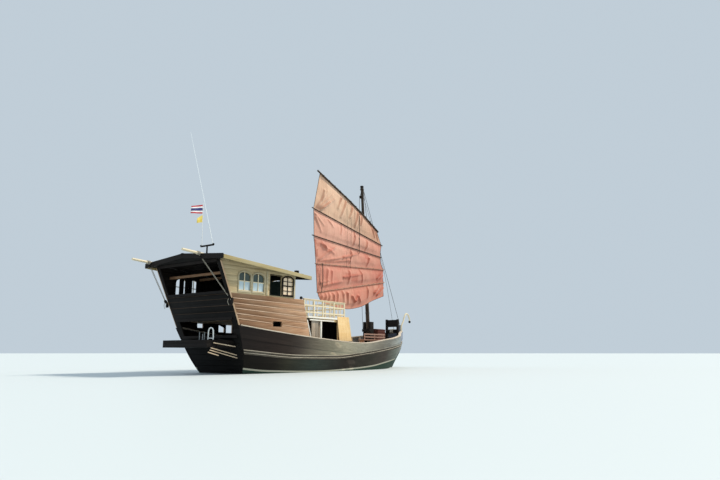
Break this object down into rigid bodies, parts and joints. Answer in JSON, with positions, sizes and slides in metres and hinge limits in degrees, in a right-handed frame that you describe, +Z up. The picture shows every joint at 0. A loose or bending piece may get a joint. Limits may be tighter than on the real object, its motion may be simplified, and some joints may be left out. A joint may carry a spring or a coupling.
{
  "type": "chinese junk ship",
  "caption": "Wooden junk with a raked transom stern, raised stern house, railed mid house and one battened lug sail that swings about its mast.",
  "frame": {"origin": "on the centreline in the plane of the water, at half the waterline's length", "axes": "+X towards the bow, +Y to port, +Z up"},
  "size_m": [18.0265, 4.7898, 11.5666],
  "materials": {
    "hull_planking": "dark oiled planking, weathered",
    "dark_timber": "dark stained timber",
    "cap_timber": "bare worn timber",
    "deck_planking": "bare scrubbed planking",
    "reddish_planking": "oiled reddish planking",
    "house_planking": "varnished tan boards",
    "panel_board": "tan board",
    "roof_boards": "weathered boards",
    "fascia_board": "light varnished board",
    "cream_paint": "cream paint on timber",
    "white_paint": "white gloss",
    "spar": "dark oiled spar",
    "sailcloth": "tanned cotton canvas",
    "bunting": "striped bunting",
    "rope": "grey laid rope",
    "bronze": "cast bronze"
  },
  "bodies": {
    "ship": {"hull": "hull_planking", "bulwark": "hull_planking", "cap_rail": "cap_timber", "upper_wale": "dark_timber", "lower_wale": "dark_timber", "keel": "hull_planking", "stem_post": "dark_timber", "transom_wall": "dark_timber", "quarter_side_starboard": "reddish_planking", "quarter_side_port": "reddish_planking", "quarterdeck": "deck_planking", "quarter_bulkhead": "dark_timber", "house_side_starboard": "house_planking", "house_side_port": "house_planking", "house_front": "house_planking", "roof": "roof_boards", "fascia_starboard": "fascia_board", "fascia_port": "fascia_board", "ridge_beam": "dark_timber", "davit_port": "cream_paint", "davit_starboard": "cream_paint", "brace_port": "rope", "brace_starboard": "rope", "stern_platform": "dark_timber", "boarding_ladder": "cap_timber", "hoop_rail": "white_paint", "mid_side_starboard": "panel_board", "mid_side_port": "panel_board", "mid_front": "panel_board", "mid_aft": "panel_board", "mid_deck": "deck_planking", "mid_railing": "cream_paint", "companion_ladder": "deck_planking", "mast": "spar", "mast_bitts": "dark_timber", "mast_cap": "dark_timber", "forestay": "rope", "helm_pedestal": "dark_timber", "hatch_coaming": "dark_timber", "bench": "cap_timber", "windlass_bitts": "dark_timber", "roof_post": "dark_timber", "aerial": "white_paint", "flagpole": "white_paint", "flag": "bunting", "bow_davit": "cream_paint"},
    "sail": {"sail_cloth": "sailcloth", "yard": "spar", "batten_1": "spar", "batten_2": "spar", "batten_3": "spar", "batten_4": "spar"},
    "rudder": {"rudder": "dark_timber"},
    "propeller": {"propeller": "bronze"},
    "helm": {"helm_wheel": "panel_board"},
    "windlass": {"windlass_drum": "dark_timber"},
    "hatch": {"hatch_lid": "reddish_planking"},
    "door": {"house_door": "panel_board"}
  },
  "joints": [
    {"name": "sail_swing", "type": "hinge", "parent": "ship", "child": "sail", "pos_m": [4.28, 0, 0], "axis": [-0.0733, 0, 0.9973], "range_deg": [-75, 75]},
    {"name": "rudder_turn", "type": "hinge", "parent": "ship", "child": "rudder", "pos_m": [-6.07, 0, -0.8], "axis": [0, 0, 1], "range_deg": [-35, 35]},
    {"name": "propeller_spin", "type": "hinge", "parent": "ship", "child": "propeller", "pos_m": [-5.52, 0, -0.82], "axis": [1, 0, 0], "continuous": true},
    {"name": "helm_turn", "type": "hinge", "parent": "ship", "child": "helm", "pos_m": [-5.55, 0, 3.13], "axis": [1, 0, 0], "range_deg": [-420, 420]},
    {"name": "windlass_spin", "type": "hinge", "parent": "ship", "child": "windlass", "pos_m": [6.7, 0, 2.08], "axis": [0, 1, 0], "continuous": true},
    {"name": "hatch_open", "type": "hinge", "parent": "ship", "child": "hatch", "pos_m": [4.48, 0, 2.0803], "axis": [0, -1, 0], "range_deg": [0, 100]},
    {"name": "door_open", "type": "hinge", "parent": "ship", "child": "door", "pos_m": [-4.5377, 0.3623, 2.35], "axis": [0, 0, 1], "range_deg": [0, 110]}
  ],
  "couplings": [
    {"joint": "helm_turn", "follows": "rudder_turn", "ratio": 12}
  ]
}
